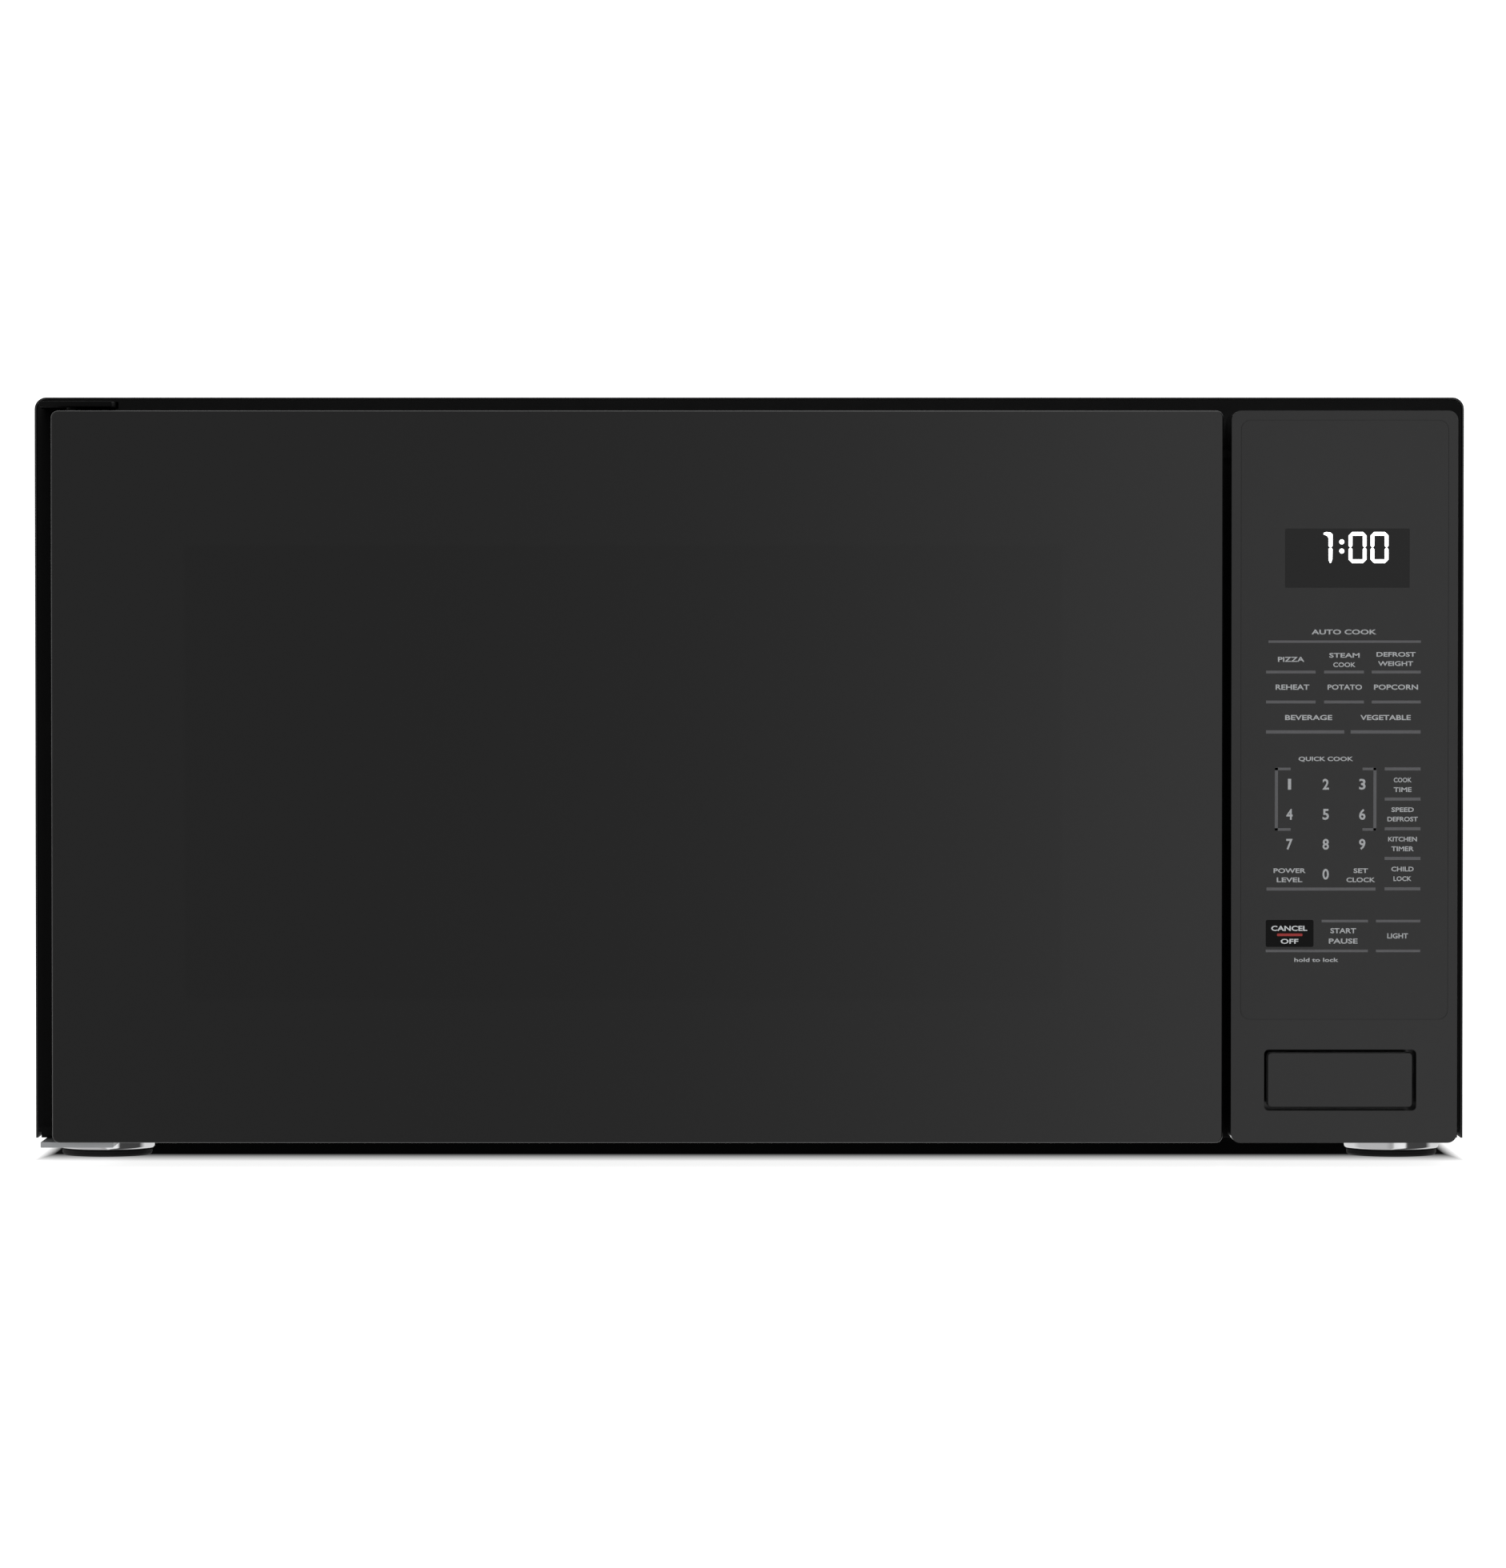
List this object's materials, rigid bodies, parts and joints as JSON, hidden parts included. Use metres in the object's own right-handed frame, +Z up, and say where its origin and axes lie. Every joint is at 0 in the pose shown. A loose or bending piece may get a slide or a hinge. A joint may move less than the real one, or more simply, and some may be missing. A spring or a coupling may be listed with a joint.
{
  "type": "countertop microwave oven",
  "caption": "Full-size countertop microwave oven with a side-hinged glass door, a push-button latch, a control tower and a turntable in its cavity.",
  "frame": {"origin": "centre of the footprint, on the surface that the feet stand on", "axes": "+X to the oven's right seen from the front, +Y from the door to the back, +Z up"},
  "size_m": [0.613, 0.495, 0.328],
  "materials": {
    "black_paint": "satin",
    "black_glass": "gloss",
    "black_plastic": "satin",
    "dark_plastic": "matte",
    "zinc_steel": "zinc plated",
    "cavity_enamel": "smooth paint",
    "clear_glass": "clear",
    "chrome": "polished",
    "rubber": "matte",
    "white_nylon": "matte",
    "aluminium": "satin",
    "laminate": "satin",
    "copper": "enamelled wire",
    "smoked_lens": "gloss",
    "mica": "matte",
    "spring_steel": "bright wire"
  },
  "bodies": {
    "cabinet": {"outer_cover": "black_paint", "base_plate": "zinc_steel", "rear_panel": "black_paint", "cord_gland": "rubber", "cover_screw_1": "zinc_steel", "cover_screw_2": "zinc_steel", "cover_screw_3": "zinc_steel", "front_frame": "black_paint", "oven_cavity": "cavity_enamel", "waveguide_cover": "mica", "waveguide": "zinc_steel", "magnetron": "aluminium", "thermal_cutout": "dark_plastic", "transformer_core": "zinc_steel", "transformer_windings": "copper", "high_voltage_capacitor": "aluminium", "fan_duct": "dark_plastic", "fan_motor": "zinc_steel", "mains_filter_board": "laminate", "lamp_holder": "white_nylon", "oven_lamp": "clear_glass", "front_left_foot_collar": "chrome", "front_left_foot_pad": "rubber", "front_right_foot_collar": "chrome", "front_right_foot_pad": "rubber", "rear_left_foot_pad": "rubber", "rear_right_foot_pad": "rubber", "upper_hinge": "zinc_steel", "lower_hinge": "zinc_steel", "latch_board": "white_nylon", "lower_interlock_switch": "dark_plastic", "middle_interlock_switch": "dark_plastic", "upper_interlock_switch": "dark_plastic", "control_panel": "black_plastic", "keypad_sheet": "black_plastic", "display_window": "smoked_lens", "display_module": "dark_plastic", "control_board": "laminate", "button_spring": "spring_steel", "turntable_motor": "zinc_steel"},
    "door": {"door_glass": "black_glass", "door_frame": "dark_plastic", "door_choke": "zinc_steel", "door_screen": "black_paint", "door_inner_glass": "clear_glass", "door_inner_cover": "black_plastic", "latch_spring": "spring_steel"},
    "door_latch": {"door_latch": "white_nylon"},
    "door_button": {"door_button": "black_plastic"},
    "release_lever": {"release_lever": "white_nylon"},
    "turntable_coupler": {"turntable_coupler": "white_nylon"},
    "glass_tray": {"glass_tray": "clear_glass"},
    "roller_ring": {"roller_ring": "white_nylon"},
    "fan_blades": {"fan_blades": "white_nylon"},
    "roller_wheel_1": {"roller_wheel_1": "white_nylon"},
    "roller_wheel_2": {"roller_wheel_2": "white_nylon"},
    "roller_wheel_3": {"roller_wheel_3": "white_nylon"},
    "lower_switch_plunger": {"lower_switch_plunger": "white_nylon"},
    "middle_switch_plunger": {"middle_switch_plunger": "white_nylon"},
    "upper_switch_plunger": {"upper_switch_plunger": "white_nylon"}
  },
  "joints": [
    {"name": "door_hinge", "type": "hinge", "parent": "cabinet", "child": "door", "pos_m": [-0.2885, -0.2225, 0.166], "axis": [0, 0, -1], "range_deg": [0, 100]},
    {"name": "latch_lift", "type": "slide", "parent": "door", "child": "door_latch", "axis": [0, 0, 1], "range_m": [0, 0.0041], "deforming": ["latch_spring"]},
    {"name": "button_press", "type": "slide", "parent": "cabinet", "child": "door_button", "axis": [0, 1, 0], "range_m": [0, 0.0045], "stiffness_N_per_m": 400, "deforming": ["button_spring"]},
    {"name": "lever_turn", "type": "hinge", "parent": "cabinet", "child": "release_lever", "pos_m": [0.205, -0.198, 0.0662], "axis": [1, 0, 0], "range_deg": [0, 9.1]},
    {"name": "turntable_turn", "type": "hinge", "parent": "cabinet", "child": "turntable_coupler", "pos_m": [-0.0475, 0.00705, 0.05], "axis": [0, 0, 1], "continuous": true},
    {"name": "tray_lift", "type": "slide", "parent": "turntable_coupler", "child": "glass_tray", "axis": [0, 0, 1], "range_m": [0, 0.03]},
    {"name": "ring_turn", "type": "hinge", "parent": "cabinet", "child": "roller_ring", "pos_m": [-0.0475, 0.00705, 0.0513], "axis": [0, 0, 1], "continuous": true},
    {"name": "wheel_1_roll", "type": "hinge", "parent": "roller_ring", "child": "roller_wheel_1", "pos_m": [-0.0475, 0.13505, 0.0513], "axis": [0, 1, 0], "continuous": true},
    {"name": "wheel_2_roll", "type": "hinge", "parent": "roller_ring", "child": "roller_wheel_2", "pos_m": [-0.15835, -0.05695, 0.0513], "axis": [-0.866, -0.5, 0], "continuous": true},
    {"name": "wheel_3_roll", "type": "hinge", "parent": "roller_ring", "child": "roller_wheel_3", "pos_m": [0.06335, -0.05695, 0.0513], "axis": [0.866, -0.5, 0], "continuous": true},
    {"name": "fan_spin", "type": "hinge", "parent": "cabinet", "child": "fan_blades", "pos_m": [0.2387, 0.2013, 0.197], "axis": [0, 1, 0], "continuous": true},
    {"name": "lower_plunger_out", "type": "slide", "parent": "cabinet", "child": "lower_switch_plunger", "axis": [0, -1, 0], "range_m": [0, 0.0012]},
    {"name": "middle_plunger_out", "type": "slide", "parent": "cabinet", "child": "middle_switch_plunger", "axis": [0, -1, 0], "range_m": [0, 0.0012]},
    {"name": "upper_plunger_out", "type": "slide", "parent": "cabinet", "child": "upper_switch_plunger", "axis": [0, -1, 0], "range_m": [0, 0.0012]}
  ],
  "couplings": [
    {"joint": "latch_lift", "follows": "button_press", "ratio": 0.889},
    {"joint": "lever_turn", "follows": "button_press", "rad_per_m": 34.9},
    {"joint": "ring_turn", "follows": "turntable_turn", "ratio": 0.5},
    {"joint": "wheel_1_roll", "follows": "turntable_turn", "ratio": -7.1111},
    {"joint": "wheel_2_roll", "follows": "turntable_turn", "ratio": -7.1111},
    {"joint": "wheel_3_roll", "follows": "turntable_turn", "ratio": -7.1111},
    {"joint": "lower_plunger_out", "follows": "door_hinge", "m_per_rad": 0.00068},
    {"joint": "middle_plunger_out", "follows": "door_hinge", "m_per_rad": 0.00068},
    {"joint": "upper_plunger_out", "follows": "door_hinge", "m_per_rad": 0.00068}
  ]
}
